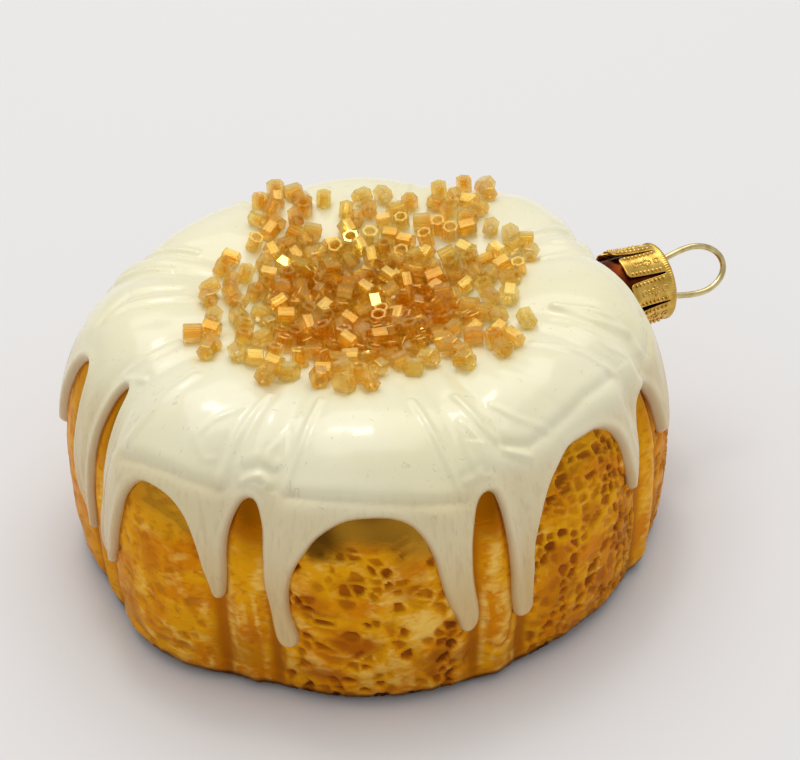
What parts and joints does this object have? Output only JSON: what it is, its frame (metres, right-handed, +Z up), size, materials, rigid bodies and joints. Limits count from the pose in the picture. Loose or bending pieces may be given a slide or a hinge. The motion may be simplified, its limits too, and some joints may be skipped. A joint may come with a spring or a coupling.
{
  "type": "bundt cake glass ornament",
  "caption": "Blown-glass hanging ornament in the form of an iced, fluted ring cake with beads on top, a tabbed metal cap and a wire loop.",
  "frame": {"origin": "centre of the flat base that the ornament lies on, below the middle of the cake", "axes": "+Z up out of the iced side, +X along the neck, the metal cap and the wire loop, +Y the other way across the cake"},
  "size_m": [0.0941, 0.0777, 0.0386],
  "materials": {
    "lacquered_glass": "gold and ochre lacquer on blown glass, glossy, mottled",
    "icing_enamel": "thick cream enamel, glossy",
    "amber_beads": "amber glass with a faint rainbow film",
    "cap_metal": "embossed thin gold-coloured sheet",
    "loop_wire": "smooth pale brass wire"
  },
  "bodies": {
    "root": {"cake_glass": "lacquered_glass", "icing_coat": "icing_enamel", "bead_heap": "amber_beads", "ornament_cap": "cap_metal", "hanger_loop": "loop_wire"}
  },
  "joints": []
}
